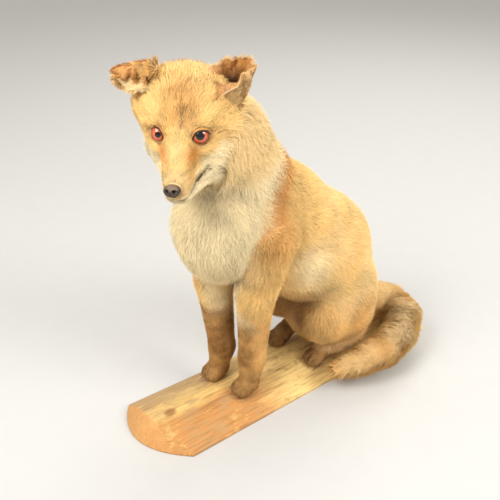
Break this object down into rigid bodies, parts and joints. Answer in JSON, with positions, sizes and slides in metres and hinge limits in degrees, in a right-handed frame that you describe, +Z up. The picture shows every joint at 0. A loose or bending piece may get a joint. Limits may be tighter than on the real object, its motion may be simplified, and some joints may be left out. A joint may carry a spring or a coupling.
{
  "type": "taxidermy red fox",
  "caption": "Still taxidermy red fox cub, sitting upright on a half-round log slab, head turned to its left, tail swept round to its left side.",
  "frame": {"origin": "middle of the slab's flat underside", "axes": "+Z up out of the slab; the slab's length along Y with the fox facing -Y; the fox's own left is +X"},
  "size_m": [0.1525, 0.3733, 0.374],
  "materials": {
    "fur_golden": "short golden tan fur, lying flat",
    "fur_cream": "soft cream fur",
    "fur_tan": "short orange tan fur",
    "fur_brown": "short brown fur",
    "ear_leather": "dried bare skin",
    "nose_skin": "dried dark nose pad",
    "eye_glass": "polished glass eye with a red-orange iris",
    "slab_wood": "planed pale wood with open grain"
  },
  "bodies": {
    "root": {"base_slab": "slab_wood", "neck": "fur_cream", "chest": "fur_cream", "loins": "fur_golden", "rump": "fur_golden", "thigh_left": "fur_golden", "thigh_right": "fur_golden", "foreleg_upper_left": "fur_tan", "foreleg_lower_left": "fur_brown", "forepaw_left": "fur_tan", "foreleg_upper_right": "fur_tan", "foreleg_lower_right": "fur_brown", "forepaw_right": "fur_tan", "hock_left": "fur_golden", "hock_right": "fur_golden", "hindpaw_left": "fur_brown", "hindpaw_right": "fur_brown", "tail_root": "fur_golden", "tail_middle": "fur_golden", "tail_tip": "fur_golden", "eye_left": "eye_glass", "eye_right": "eye_glass", "head": "fur_golden", "muzzle": "fur_golden", "lower_jaw": "fur_cream", "nose": "nose_skin", "ear_right": "ear_leather", "ear_left": "ear_leather"}
  },
  "joints": []
}
